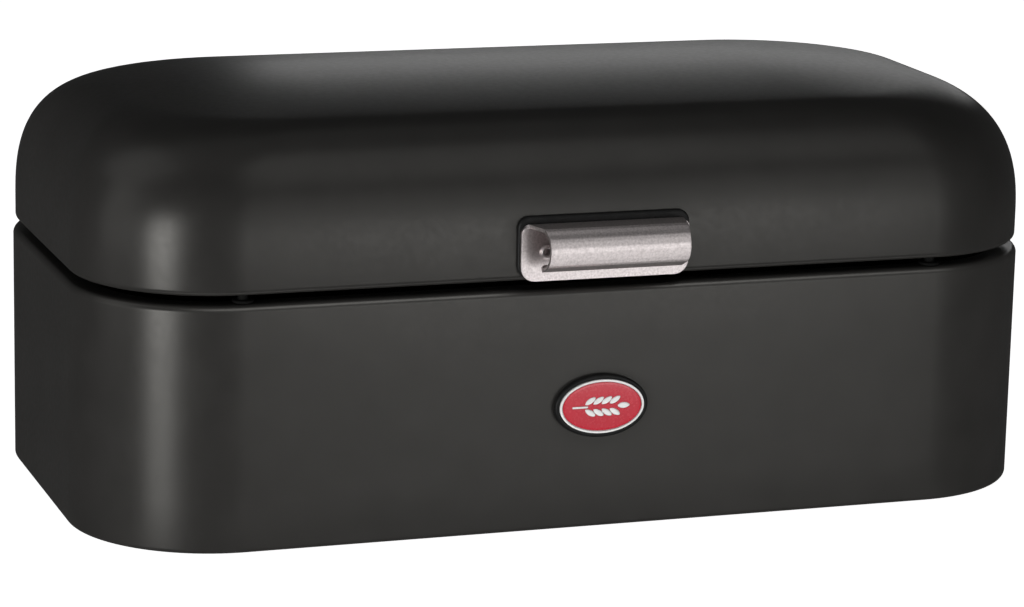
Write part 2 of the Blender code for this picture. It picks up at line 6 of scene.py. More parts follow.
import bmesh
import bpy
from mathutils import Matrix, Vector


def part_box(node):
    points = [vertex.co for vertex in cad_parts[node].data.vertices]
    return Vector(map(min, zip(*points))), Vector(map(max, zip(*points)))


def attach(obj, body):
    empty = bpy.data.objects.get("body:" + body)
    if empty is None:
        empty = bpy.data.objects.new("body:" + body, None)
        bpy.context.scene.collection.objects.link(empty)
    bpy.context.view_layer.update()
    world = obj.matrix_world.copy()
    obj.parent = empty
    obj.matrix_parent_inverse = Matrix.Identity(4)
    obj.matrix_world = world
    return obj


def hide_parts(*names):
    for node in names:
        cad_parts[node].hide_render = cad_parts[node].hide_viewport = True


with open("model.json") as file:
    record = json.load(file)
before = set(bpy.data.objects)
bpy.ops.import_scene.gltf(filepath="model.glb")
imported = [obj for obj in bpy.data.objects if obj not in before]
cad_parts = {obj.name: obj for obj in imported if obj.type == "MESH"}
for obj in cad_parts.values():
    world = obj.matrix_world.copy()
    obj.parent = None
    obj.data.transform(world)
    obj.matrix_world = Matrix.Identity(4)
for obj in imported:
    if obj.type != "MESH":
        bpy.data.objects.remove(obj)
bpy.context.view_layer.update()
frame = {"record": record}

MM = 0.001
GAP = 0.3 * MM  # clearance that stands for contact between two pieces
ROUND_STEPS = 48
HOLE_STEPS = 32

# The drawing's origin is the middle of the tub's underside. Pieces are drawn there and moved by ORIGIN.
tub_low, tub_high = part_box("base_tub")
lid_low, lid_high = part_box("lid_shell")
ORIGIN = Vector((0, (tub_low.y + tub_high.y) / 2, tub_low.z))
HALF_LENGTH = (tub_high.x - tub_low.x) / 2
HALF_DEPTH = (tub_high.y - tub_low.y) / 2
TUB_HEIGHT = tub_high.z - tub_low.z
LID_BOTTOM = lid_low.z - tub_low.z
LID_TOP = lid_high.z - tub_low.z
LID_INSET = HALF_LENGTH - lid_high.x


def middle_of(node):
    """The middle of a CAD node's box, in the drawing's frame."""
    low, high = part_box(node)
    return (Vector(low) + Vector(high)) / 2 - ORIGIN


def size_of(node):
    low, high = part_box(node)
    return Vector(high) - Vector(low)


# Tub and lid. The rim's edge is rolled tighter than in the CAD model, which gives it a narrower highlight.
CORNER_RADIUS = 60 * MM
SHEET = 0.8 * MM
TUB_FLOOR_RADIUS = 2 * MM
TUB_RIM_RADIUS = 2.6 * MM
LID_EDGE_RADIUS = 2.5 * MM
DOME_START = 115.5 * MM
DOME_INSET = 44 * MM
DOME_EXPONENT = 2.63
DOME_CORNER_RADIUS = 64 * MM
DOME_RISE = 56 * MM
CROWN_ANGLE = math.radians(81.4)
FLANGE_WIDTH = 12 * MM
FLANGE_LIP = 3 * MM
FLANGE_FOLD = 1.2 * MM
FLOOR_BORDER = 26 * MM
FLOOR_STEP = 1.5 * MM
CORNER_STEPS = 28
STRAIGHT_STEPS = 12
DOME_STEPS = 36
CROWN_STEPS = 16
FLOOR_STEPS = 8

# Holes
VENT_COUNT = 12
VENT_RADIUS = 2.5 * MM
VENT_SPACING = 12 * MM
VENT_HEIGHT = 82 * MM
RIM_HOLE_RADIUS = 1.8 * MM
FOOT_HOLE_RADIUS = 2.3 * MM
HANDLE_HOLE_RADIUS = 1.9 * MM

# Hinges
HINGE_Z = (TUB_HEIGHT + LID_BOTTOM) / 2
HINGE_Y = HALF_DEPTH
LEAF_WIDTH = size_of("hinge_left_tub_leaf").x
LEAF_THICKNESS = 1 * MM
LEAF_REACH = 11.5 * MM
TONGUE_REACH = 8 * MM
KNUCKLE_RADIUS = 2.2 * MM
KNUCKLE_GAP = 0.4 * MM
PIN_RADIUS = 1 * MM
LID_KNUCKLE_WIDTH = 13.6 * MM
HINGE_RIVET_RADIUS = 1.5 * MM
HINGE_RIVET_HEAD = 2.6 * MM

# Handle: distances forward and up in the drawing's frame, as (Y, Z)
HANDLE_SHEET = 1.5 * MM
PLATE_HALF_WIDTH = size_of("handle_grip").x / 2
PLATE_BOTTOM = middle_of("handle_grip").z - size_of("handle_grip").z / 2
PLATE_FACE_Y = -112.4 * MM
PLATE_TOP = 130.2 * MM
PLATE_CORNER = 6 * MM
FLANGE_ROOT_HALF_WIDTH = 33.4 * MM
CREASE_HALF_WIDTH = 30.8 * MM
HOOD_HALF_WIDTH = 30.1 * MM
HOOD_CREASE = Vector((-124.3 * MM, 130.5 * MM))
HOOD_BULGE = Vector((-131 * MM, 122.5 * MM))
HOOD_FOLD = Vector((-127.5 * MM, 115 * MM))
HOOD_LIP = Vector((-119.9 * MM, 111.5 * MM))
HOOD_TIP = Vector((-118.9 * MM, 114.5 * MM))
HANDLE_RIVET_RADIUS = 1.6 * MM

# Badge
BADGE_HEIGHT = middle_of("badge_plate").z
BADGE_HALF = (18.4 * MM, 11.4 * MM)
BADGE_RIM = 0.9 * MM
BADGE_STEPS = 128
CARRIER_BORDER = 2 * MM
GRAIN_PAIRS = 4
GRAIN_LENGTH = 5.2 * MM

# Studio: azimuths and elevations are in degrees, as direction() takes them
CAMERA_DIRECTION = (-19.19, 13.11)
CAMERA_DISTANCE = 1.655
CAMERA_TARGET = ORIGIN + Vector((-0.8 * MM, 0, 70.1 * MM))
CAMERA_ROLL = math.radians(1.25)
CAMERA_LENS = 132.93
SENSOR_WIDTH = 36
FLOOR_HALF_SIZE = 6
FLOOR_DROP = 0.1 * MM
FLOOR_GLOW = 1
WORLD_GLOW = 0.035
LIGHT_TARGET = Vector((0, 0, 0.09))
HANDLE_PIECES = ("nickel_grip", "nickel_rivet_left", "nickel_rivet_right")


# ---------------------------------------------------------------- geometry helpers


def smooth_mesh(mesh, angle=35):
    mesh.shade_smooth()
    mesh.set_sharp_from_angle(angle=math.radians(angle))


def object_from(bm, name):
    """A new object at the drawing's origin from a bmesh."""
    mesh = bpy.data.meshes.new(name)
    bm.to_mesh(mesh)
    bm.free()
    smooth_mesh(mesh)
    obj = bpy.data.objects.new(name, mesh)
    obj.location = ORIGIN
    bpy.context.scene.collection.objects.link(obj)
    return obj


def apply_modifiers(obj):
    """Makes the evaluated mesh the object's own, with no modifier left."""
    graph = bpy.context.evaluated_depsgraph_get()
    mesh = bpy.data.meshes.new_from_object(obj.evaluated_get(graph))
    obj.modifiers.clear()
    obj.data = mesh
    smooth_mesh(mesh)
    return obj


def combine(obj, other, operation):
    """Cuts the other object away or joins it on, and removes it."""
    step = obj.modifiers.new("combine", "BOOLEAN")
    step.operation = operation
    step.solver = "EXACT"
    step.object = other
    apply_modifiers(obj)
    bpy.data.objects.remove(other)


def thicken(obj, thickness):
    """Gives a surface its sheet's thickness, on the side away from its normals."""
    sheet = obj.modifiers.new("sheet", "SOLIDIFY")
    sheet.thickness = thickness
    sheet.offset = -1
    sheet.use_even_offset = True
    return apply_modifiers(obj)


def soften_edges(obj, width, segments=2, angle=50):
    bevel = obj.modifiers.new("edges", "BEVEL")
    bevel.width = width
    bevel.segments = segments
    bevel.limit_method = "ANGLE"
    bevel.angle_limit = math.radians(angle)
    apply_modifiers(obj)


def finish_piece(obj, node, material):
    """Gives a piece its finish and its body, in place of the CAD node that it stands for."""
    obj.data.materials.clear()
    obj.data.materials.append(material)
    body = next(name for name, nodes in BODIES.items() if node in nodes)
    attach(obj, body)
    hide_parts(node)


def arc_points(centre, radius, start, end, steps):
    angles = [math.radians(start + (end - start) * i / steps) for i in range(steps + 1)]
    return [Vector((centre[0] + radius * math.cos(a), centre[1] + radius * math.sin(a))) for a in angles]


def arc_through(first, middle, last, steps):
    """Points on the circle through three points, from the first to the last."""
    a, b = middle - first, last - first
    cross = 2 * (a.x * b.y - a.y * b.x)
    offset = Vector((b.y * a.dot(a) - a.y * b.dot(b), a.x * b.dot(b) - b.x * a.dot(a))) / cross
    centre = first + offset
    start = math.degrees(math.atan2(*reversed(first - centre))) % 360
    end = math.degrees(math.atan2(*reversed(last - centre))) % 360
    return arc_points(centre, offset.length, start, end, steps)


def filleted(corners, steps):
    """A path through (x, y, radius) corners, each rounded by its radius: 0 leaves a corner sharp."""
    points = [Vector(corners[0][:2])]
    for before, corner, after in zip(corners, corners[1:], corners[2:]):
        here, radius = Vector(corner[:2]), corner[2]
        back = (Vector(before[:2]) - here).normalized()
        ahead = (Vector(after[:2]) - here).normalized()
        if radius == 0 or abs(back.dot(ahead)) > 0.9999:
            points.append(here)
            continue
        half = math.acos(max(-1, min(1, back.dot(ahead)))) / 2
        middle = here + (back + ahead).normalized() * radius / math.sin(half)
        first = here + back * radius / math.tan(half) - middle
        last = here + ahead * radius / math.tan(half) - middle
        turn = first.angle_signed(last)
        for i in range(steps + 1):
            share = turn * i / steps
            cos, sin = math.cos(share), math.sin(share)
            points.append(middle + Vector((first.x * cos + first.y * sin, first.y * cos - first.x * sin)))
    points.append(Vector(corners[-1][:2]))
    return points


def evened(path, longest):
    """The same path with its long runs cut into equal steps."""
    points = [path[0]]
    for start, end in zip(path, path[1:]):
        count = max(1, math.ceil((end - start).length / longest))
        points += [start.lerp(end, i / count) for i in range(1, count + 1)]
    return points


def rounded_rectangle(half_x, half_y, radius, steps, straight_steps=1):
    """The outline of a rectangle with round corners, anticlockwise, its straight sides in equal steps."""
    points = []
    for quarter, (side_x, side_y) in enumerate(((1, 1), (-1, 1), (-1, -1), (1, -1))):
        centre = (side_x * (half_x - radius), side_y * (half_y - radius))
        points += arc_points(centre, radius, 90 * quarter, 90 * quarter + 90, steps)
        last = points[-1]
        turn = math.radians(90 * quarter + 180)
        run = 2 * (half_x - radius if quarter % 2 == 0 else half_y - radius)
        along = Vector((math.cos(turn), math.sin(turn)))
        points += [last + along * run * i / straight_steps for i in range(1, straight_steps)]
    return points


def ellipse(half_x, half_y, steps):
    angles = [2 * math.pi * i / steps for i in range(steps)]
    return [Vector((half_x * math.cos(a), half_y * math.sin(a))) for a in angles]


def skin_loops(bm, loops, close_first=False, close_last=True):
    """Joins rings of points, all of one count, into a surface."""
    rings = [[bm.verts.new(point) for point in loop] for loop in loops]
    for lower, upper in zip(rings, rings[1:]):
        for i, vertex in enumerate(lower):
            j = (i + 1) % len(lower)
            bm.faces.new((vertex, lower[j], upper[j], upper[i]))
    if close_first:
        bm.faces.new(rings[0][::-1])
    if close_last:
        bm.faces.new(rings[-1])


def closed_solid(name, loops):
    """A solid through rings of points, both its ends closed."""
    bm = bmesh.new()
    skin_loops(bm, loops, True, True)
    bmesh.ops.recalc_face_normals(bm, faces=bm.faces)
    return object_from(bm, name)


def turned(name, corners, place, turn=Matrix()):
    """A lathe piece: corners are (radius, height, fillet) from one end of the axis to the other."""
    bm = bmesh.new()
    least = 0.01 * MM  # the rings at the axis keep a width, so that no face is folded up
    loops = []
    for radius, height in filleted(corners, 4):
        ring = ellipse(max(radius, least), max(radius, least), ROUND_STEPS)
        loops.append([Vector((x, y, height)) for x, y in ring])
    skin_loops(bm, loops, True, True)
    bmesh.ops.recalc_face_normals(bm, faces=bm.faces)
    bmesh.ops.transform(bm, matrix=Matrix.Translation(place) @ turn, verts=bm.verts)
    return object_from(bm, name)


def turned_ring(name, inner, outer, thickness, edge, place, turn):
    """A flat ring with softened edges."""
    high = thickness / 2
    corners = [(inner, 0, 0), (inner, high, edge), (outer, high, edge)]
    corners += [(outer, -high, edge), (inner, -high, edge), (inner, 0, 0)]
    bm = bmesh.new()
    loops = [[Vector((x, y, z)) for x, y in ellipse(r, r, ROUND_STEPS)] for r, z in filleted(corners, 3)]
    skin_loops(bm, loops, False, False)
    bmesh.ops.remove_doubles(bm, verts=bm.verts, dist=0.001 * MM)
    bmesh.ops.recalc_face_normals(bm, faces=bm.faces)
    bmesh.ops.transform(bm, matrix=Matrix.Translation(place) @ turn, verts=bm.verts)
    return object_from(bm, name)


def cylinders(places, radius, half_length, axis="Z", steps=ROUND_STEPS):
    """One cutter holding a round bar at each place."""
    bm = bmesh.new()
    turn = Matrix() if axis == "Z" else Matrix.Rotation(math.radians(90), 4, "X" if axis == "Y" else "Y")
    for place in places:
        bmesh.ops.create_cone(
            bm,
            cap_ends=True,
            segments=steps,
            radius1=radius,
            radius2=radius,
            depth=2 * half_length,
            matrix=Matrix.Translation(place) @ turn,
        )
    return object_from(bm, "cutter")


def block(name, low, high):
    bm = bmesh.new()
    bmesh.ops.create_cube(bm, size=1)
    size = Vector(high) - Vector(low)
    middle = (Vector(high) + Vector(low)) / 2
    bmesh.ops.transform(bm, matrix=Matrix.Translation(middle) @ Matrix.Diagonal((*size, 1)), verts=bm.verts)
    return object_from(bm, name)


def loft(name, sections, thickness):
    """A sheet-metal shell through rounded outlines, each (inset, radius, height), closed by the last one."""
    bm = bmesh.new()
    loops = []
    for inset, radius, height in sections:
        outline = rounded_rectangle(
            HALF_LENGTH - inset, HALF_DEPTH - inset, radius, CORNER_STEPS, STRAIGHT_STEPS
        )
        loops.append([Vector((x, y, height)) for x, y in outline])
    skin_loops(bm, loops)
    if sections[-1][2] < sections[0][2]:
        bmesh.ops.reverse_faces(bm, faces=bm.faces)
    return thicken(object_from(bm, name), thickness)


# ---------------------------------------------------------------- tub and lid


def rim_sections(edge_inset, edge_height, edge_radius, away):
    """The turned-in edge, from its free lip to the wall: away is +1 where the wall rises from the edge."""
    lip_inset = edge_inset + FLANGE_WIDTH
    sections = [(lip_inset, edge_height + away * FLANGE_LIP)]
    for y, z in arc_points((0, 0), FLANGE_FOLD, 0, -90, 5):
        sections.append((lip_inset - FLANGE_FOLD + y, edge_height + away * (FLANGE_FOLD + z)))
    for y, z in arc_points((0, 0), edge_radius, 270, 180, 14):
        sections.append((edge_inset + edge_radius + y, edge_height + away * (edge_radius + z)))
    return [(inset, CORNER_RADIUS - inset, height) for inset, height in sections]


def tub_sections():
    """The rim, the wall down to the floor, and the step up to the pressed floor."""
    sections = rim_sections(0, TUB_HEIGHT, TUB_RIM_RADIUS, -1)
    top, bottom = TUB_HEIGHT - TUB_RIM_RADIUS, TUB_FLOOR_RADIUS
    for share in (0.2, 0.4, 0.6, 0.8):
        sections.append((0, CORNER_RADIUS, top + (bottom - top) * share))
    for y, z in arc_points((0, 0), TUB_FLOOR_RADIUS, 180, 270, 10):
        inset = TUB_FLOOR_RADIUS + y
        sections.append((inset, CORNER_RADIUS - inset, TUB_FLOOR_RADIUS + z))
    step_width = 2 * FLOOR_STEP
    for step in range(FLOOR_STEPS + 1):
        share = step / FLOOR_STEPS
        rise = FLOOR_STEP * share * share * (3 - 2 * share)
        inset = FLOOR_BORDER + step_width * share
        sections.append((inset, CORNER_RADIUS - inset, rise))
    return sections


def dome_point(angle):
    """How far the dome lies inside the lid's outline, and how high, at an angle round its shoulder."""
    share_in = 1 - math.cos(angle) ** (2 / DOME_EXPONENT)
    share_up = math.sin(angle) ** (2 / DOME_EXPONENT)
    return share_in, DOME_START + DOME_RISE * share_up


def dome_inset_at(height):
    """The dome's inset at a given height on the straight front wall."""
    share_up = max(0, (height - DOME_START) / DOME_RISE)
    angle = math.asin(share_up ** (DOME_EXPONENT / 2))
    return LID_INSET + DOME_INSET * (1 - math.cos(angle) ** (2 / DOME_EXPONENT))


def lid_sections():
    """The edge, the dome's shoulder, and a shallow crown that carries on the shoulder's slope to the middle."""
    sections = rim_sections(LID_INSET, LID_BOTTOM, LID_EDGE_RADIUS, 1)
    wall_radius = CORNER_RADIUS - LID_INSET
    for step in range(1, DOME_STEPS + 1):
        share_in, height = dome_point(CROWN_ANGLE * (step / DOME_STEPS) ** (DOME_EXPONENT / 2))
        inset = LID_INSET + DOME_INSET * share_in
        radius = wall_radius + (DOME_CORNER_RADIUS - wall_radius) * share_in
        sections.append((inset, radius, height))
    crown_half, crown_rise = HALF_DEPTH - inset, LID_TOP - height
    squareness = 1 - radius / crown_half
    for step in range(1, CROWN_STEPS):
        out = 1 - step / CROWN_STEPS
        half = crown_half * out
        radius = half * (1 - squareness * out**4)
        sections.append((HALF_DEPTH - half, radius, LID_TOP - crown_rise * out**2))
    return sections


def rivet_places(owner):
    """Where the hinge rivets of the tub or the lid stand."""
    names = [f"hinge_{side}_{owner}_rivet_{i}" for side in ("left", "right") for i in (1, 2)]
    return {name: middle_of(name) for name in names}


def handle_rivet_places():
    return {side: middle_of("handle_rivet_" + side) for side in ("left", "right")}


def handle_holes():
    return cylinders(
        [Vector((place.x, PLATE_FACE_Y, place.z)) for place in handle_rivet_places().values()],
        HANDLE_HOLE_RADIUS,
        12 * MM,
        "Y",
    )


def build_tub(material):
    tub = loft("tub", tub_sections(), SHEET)
    first = -(VENT_COUNT - 1) / 2
    vents = [Vector(((first + i) * VENT_SPACING, HALF_DEPTH, VENT_HEIGHT)) for i in range(VENT_COUNT)]
    combine(tub, cylinders(vents, VENT_RADIUS, 5 * MM, "Y", HOLE_STEPS), "DIFFERENCE")
    rim = list(rivet_places("tub").values()) + [middle_of(node) for node in BUFFERS]
    rim = [Vector((place.x, place.y, TUB_HEIGHT)) for place in rim]
    combine(tub, cylinders(rim, RIM_HOLE_RADIUS, 2 * MM, "Z", HOLE_STEPS), "DIFFERENCE")
    feet = [Vector((place.x, place.y, 0)) for place in map(middle_of, FEET)]
    combine(tub, cylinders(feet, FOOT_HOLE_RADIUS, 3 * MM, "Z", HOLE_STEPS), "DIFFERENCE")
    finish_piece(tub, "base_tub", material)


def build_lid(material):
    lid = loft("lid", lid_sections(), SHEET)
    rim = [Vector((place.x, place.y, LID_BOTTOM)) for place in rivet_places("lid").values()]
    combine(lid, cylinders(rim, RIM_HOLE_RADIUS, 2 * MM, "Z", HOLE_STEPS), "DIFFERENCE")
    combine(lid, handle_holes(), "DIFFERENCE")
    finish_piece(lid, "lid_shell", material)


# ---------------------------------------------------------------- feet and buffers


def build_feet(material):
    """Rubber buttons whose stems push through the floor and swell above it."""
    drop = ORIGIN.z
    inside = SHEET + GAP
    radius = size_of("foot_front_left").x / 2
    corners = [
        (0, inside + 1.6 * MM, 0),
        (1.9 * MM, inside + 1.6 * MM, 0.6 * MM),
        (3.2 * MM, inside + 0.6 * MM, 0.3 * MM),
        (3.2 * MM, inside, 0.15 * MM),
        (2 * MM, inside, 0.1 * MM),
        (2 * MM, -GAP, 0.1 * MM),
        (radius, -GAP, 0.35 * MM),
        (radius - 0.2 * MM, -drop, 0.7 * MM),
        (4.2 * MM, -drop, 0.2 * MM),
        (3.9 * MM, -drop + 0.5 * MM, 0.2 * MM),
        (0, -drop + 0.5 * MM, 0),
    ]
    for node in FEET:
        place = middle_of(node)
        foot = turned("rubber_" + node, corners, (place.x, place.y, 0))
        finish_piece(foot, node, material)


def build_buffers(material):
    """Low rubber buttons with a nub in the middle, pressed into the tub's rim."""
    crown = LID_BOTTOM - GAP
    seat = TUB_HEIGHT + GAP
    shoulder = seat + 1.2 * MM
    under = TUB_HEIGHT - SHEET - GAP
    radius = size_of("lid_buffer_front_left").x / 2
    nub = 2 * MM
    corners = [
        (0, crown, 0),
        (nub, crown, 0.5 * MM),
        (nub + 0.1 * MM, shoulder, 0.25 * MM),
        (radius, shoulder, 0.5 * MM),
        (radius, seat, 0.2 * MM),
        (1.5 * MM, seat, 0.1 * MM),
        (1.5 * MM, under, 0.1 * MM),
        (2.5 * MM, under, 0.2 * MM),
        (2.4 * MM, under - 0.8 * MM, 0.3 * MM),
        (1.2 * MM, under - 1.8 * MM, 0.4 * MM),
        (0, under - 1.8 * MM, 0),
    ]
    for node in BUFFERS:
        place = middle_of(node)
        finish_piece(turned("rubber_" + node, corners, (place.x, place.y, 0)), node, material)


# ---------------------------------------------------------------- hinges


def build_leaf(side, owner, material):
    """A flat leaf with its knuckles. The tub's leaf runs on past the pin as a tongue that stops the lid."""
    node = f"hinge_{side}_{owner}_leaf"
    centre = middle_of(f"hinge_{side}_pin").x
    outer_width = LEAF_WIDTH / 2 - LID_KNUCKLE_WIDTH / 2 - KNUCKLE_GAP
    outer_x = LEAF_WIDTH / 2 - outer_width / 2
    middle, outer = [(0, LID_KNUCKLE_WIDTH)], [(-outer_x, outer_width), (outer_x, outer_width)]
    if owner == "lid":
        low_z, end_y = LID_BOTTOM - GAP - LEAF_THICKNESS, HINGE_Y
        own, other = middle, outer
    else:
        low_z, end_y = TUB_HEIGHT + GAP, HINGE_Y + TONGUE_REACH
        own, other = outer, middle
    high_z = low_z + LEAF_THICKNESS
    leaf = block(
        "steel_" + node,
        (centre - LEAF_WIDTH / 2, HINGE_Y - LEAF_REACH, low_z),
        (centre + LEAF_WIDTH / 2, end_y, high_z),
    )
    clear = KNUCKLE_RADIUS + GAP
    for offset, width in other:
        reach = width / 2 + KNUCKLE_GAP
        notch = block(
            "cutter",
            (centre + offset - reach, HINGE_Y - clear, low_z - 2 * MM),
            (centre + offset + reach, HINGE_Y + 2 * TONGUE_REACH, low_z + 3 * MM),
        )
        combine(leaf, notch, "DIFFERENCE")
    for offset, width in own:
        place = Vector((centre + offset, HINGE_Y, HINGE_Z))
        combine(leaf, cylinders([place], KNUCKLE_RADIUS, width / 2, "X"), "UNION")
    bore = cylinders([Vector((centre, HINGE_Y, HINGE_Z))], PIN_RADIUS + GAP, LEAF_WIDTH, "X")
    combine(leaf, bore, "DIFFERENCE")
    rivets = [place for name, place in rivet_places(owner).items() if side in name]
    holes = [Vector((place.x, place.y, low_z)) for place in rivets]
    combine(leaf, cylinders(holes, RIM_HOLE_RADIUS, 3 * MM, "Z", HOLE_STEPS), "DIFFERENCE")
    soften_edges(leaf, 0.12 * MM)
    finish_piece(leaf, node, material)


def build_pin(side, material):
    half = LEAF_WIDTH / 2 + GAP
    head = 1.8 * MM
    corners = [
        (0, half + 0.8 * MM, 0),
        (head, half + 0.8 * MM, 0.6 * MM),
        (head, half, 0.1 * MM),
        (PIN_RADIUS, half, 0.05 * MM),
        (PIN_RADIUS, -half, 0.05 * MM),
        (head, -half, 0.1 * MM),
        (head, -half - 0.8 * MM, 0.6 * MM),
        (0, -half - 0.8 * MM, 0),
    ]
    node = f"hinge_{side}_pin"
    place = middle_of(node)
    along_x = Matrix.Rotation(math.radians(90), 4, "Y")
    finish_piece(turned("steel_" + node, corners, (place.x, HINGE_Y, HINGE_Z), along_x), node, material)


def build_hinge_rivets(owner, material):
    """Rivets through a rim and a leaf: the tub's leaves lie on its rim, and the lid's under its own."""
    stack = LEAF_THICKNESS + 2 * GAP
    thin, tall = 0.5 * MM, 0.8 * MM
    if owner == "tub":
        low, high, top, bottom = TUB_HEIGHT - SHEET - GAP, TUB_HEIGHT + stack, thin, tall
    else:
        low, high, top, bottom = LID_BOTTOM - stack, LID_BOTTOM + SHEET + GAP, tall, thin
    corners = [
        (0, high + top, 0),
        (HINGE_RIVET_HEAD, high + top, 0.8 * top),
        (HINGE_RIVET_HEAD, high, 0.05 * MM),
        (HINGE_RIVET_RADIUS, high, 0.05 * MM),
        (HINGE_RIVET_RADIUS, low, 0.05 * MM),
        (HINGE_RIVET_HEAD, low, 0.05 * MM),
        (HINGE_RIVET_HEAD, low - bottom, 0.8 * bottom),
        (0, low - bottom, 0),
    ]
    for node, place in rivet_places(owner).items():
        finish_piece(turned("steel_" + node, corners, (place.x, place.y, 0)), node, material)


# ---------------------------------------------------------------- handle


def handle_path():
    """The formed sheet's outer face in Y and Z: up the plate's back, out along the flange, round the hood."""
    back_y = PLATE_FACE_Y + HANDLE_SHEET
    corners = [(back_y, PLATE_BOTTOM, 0), (back_y, PLATE_TOP, 1.9 * MM), (*HOOD_CREASE, 0.8 * MM)]
    corners += [(*point, 0) for point in arc_through(HOOD_CREASE, HOOD_BULGE, HOOD_FOLD, 10)[1:-1]]
    corners += [(*HOOD_FOLD, 3.2 * MM), (*HOOD_LIP, 1.2 * MM), (*HOOD_TIP, 0)]
    return evened(filleted(corners, 6), 0.8 * MM)


def handle_half_width(point, travelled, total):
    """Half the sheet's width where its path has reached a point, with its corners rounded."""
    y, z = point
    if y > PLATE_FACE_Y:
        width = PLATE_HALF_WIDTH
        start = PLATE_TOP - 4 * MM
        if z > start:
            share = min(1, (z - start) / (PLATE_TOP - start))
            width -= (PLATE_HALF_WIDTH - FLANGE_ROOT_HALF_WIDTH) * share**2
    elif y > HOOD_CREASE.x and z > HOOD_BULGE.y:
        share = (PLATE_FACE_Y - y) / (PLATE_FACE_Y - HOOD_CREASE.x)
        width = FLANGE_ROOT_HALF_WIDTH + (CREASE_HALF_WIDTH - FLANGE_ROOT_HALF_WIDTH) * share
    else:
        share = min(1, max(0, (HOOD_CREASE.y - z) / (4 * MM)))
        width = CREASE_HALF_WIDTH + (HOOD_HALF_WIDTH - CREASE_HALF_WIDTH) * share
    for distance, radius in ((travelled, PLATE_CORNER), (total - travelled, 1 * MM)):
        if distance < radius:
            width -= radius - math.sqrt(radius**2 - (radius - distance) ** 2)
    return width


def build_grip(material):
    """One formed sheet: flat plate, tapered flange and hood, cut from the same strip."""
    path = handle_path()
    columns = 90
    steps = [(b - a).length for a, b in zip(path, path[1:])]
    total = sum(steps)
    corner_travel = [PLATE_CORNER * (1 - math.cos(math.radians(a))) for a in (0, 15, 30, 45, 60, 75)]
    rows = [(travel, Vector((path[0].x, path[0].y + travel))) for travel in corner_travel]
    travelled = 0
    for point, step in zip(path[1:], steps):
        travelled += step
        if travelled > PLATE_CORNER - 0.3 * MM:
            rows.append((travelled, point))
    bm = bmesh.new()
    grid = []
    for travelled, point in rows:
        half = handle_half_width(point, travelled, total)
        across = [half * (2 * i / columns - 1) for i in range(columns + 1)]
        grid.append([bm.verts.new((x, point.x, point.y)) for x in across])
    for lower, upper in zip(grid, grid[1:]):
        for i in range(columns):
            bm.faces.new((lower[i + 1], lower[i], upper[i], upper[i + 1]))
    grip = thicken(object_from(bm, "nickel_grip"), HANDLE_SHEET)
    combine(grip, handle_holes(), "DIFFERENCE")
    soften_edges(grip, 0.22 * MM, 3)
    finish_piece(grip, "handle_grip", material)


def build_backing(material):
    """A moulded wedge whose front is flat behind the plate and whose back follows the lid."""
    size, middle = size_of("handle_backing"), middle_of("handle_backing")
    front = PLATE_FACE_Y + HANDLE_SHEET + GAP
    edge = 1 * MM
    corner = 5 * MM

    def outline(inset):
        radius = max(corner - inset, 0.5 * MM)
        points = rounded_rectangle(size.x / 2 - inset, size.z / 2 - inset, radius, 12, 16)
        return [Vector((x, middle.z + z)) for x, z in points]

    def on_lid(z):
        """How far forward the lid's front stands at a height."""
        rise = max(0, LID_BOTTOM + LID_EDGE_RADIUS - z)
        edge_inset = LID_EDGE_RADIUS - math.sqrt(LID_EDGE_RADIUS**2 - rise**2)
        return -HALF_DEPTH + dome_inset_at(z) + edge_inset - GAP

    loops = [[Vector((x, on_lid(z), z)) for x, z in outline(inset * MM)] for inset in (11, 7, 3, 0)]
    for angle in (0, 22.5, 45, 67.5, 90):
        turn = math.radians(angle)
        ring = outline(edge * (1 - math.cos(turn)))
        loops.append([Vector((x, front + edge * (1 - math.sin(turn)), z)) for x, z in ring])
    backing = closed_solid("moulded_backing", loops)
    combine(backing, handle_holes(), "DIFFERENCE")
    finish_piece(backing, "handle_backing", material)


def build_handle_rivets(nickel, steel):
    """Tubular rivets whose heads are rolled open, and the washers that they are set on inside the lid."""
    forward = Matrix.Rotation(math.radians(90), 4, "X")
    for side, place in handle_rivet_places().items():
        washer = "handle_washer_" + side
        washer_y, thickness = middle_of(washer).y, size_of(washer).y
        tail = -(washer_y + thickness / 2 - PLATE_FACE_Y)
        shank = HANDLE_RIVET_RADIUS
        corners = [
            (0, -2 * MM, 0),
            (1.2 * MM, -2 * MM, 0.2 * MM),
            (1.3 * MM, GAP + 0.6 * MM, 0.5 * MM),
            (1.95 * MM, GAP + 1.6 * MM, 0.2 * MM),
            (2.5 * MM, GAP + 1.5 * MM, 0.4 * MM),
            (3.2 * MM, GAP + 0.1 * MM, 0.1 * MM),
            (3.15 * MM, GAP, 0),
            (shank, GAP, 0.05 * MM),
            (shank, tail - GAP, 0.05 * MM),
            (2.3 * MM, tail - GAP, 0.2 * MM),
            (2.2 * MM, tail - 1.5 * MM, 0.6 * MM),
            (0, tail - 1.7 * MM, 0),
        ]
        rivet = turned("nickel_rivet_" + side, corners, (place.x, PLATE_FACE_Y, place.z), forward)
        finish_piece(rivet, "handle_rivet_" + side, nickel)
        ring = turned_ring(
            "steel_washer_" + side,
            shank + GAP,
            size_of(washer).x / 2,
            thickness,
            0.2 * MM,
            (place.x, washer_y, place.z),
            forward,
        )
        finish_piece(ring, washer, steel)


# ---------------------------------------------------------------- badge


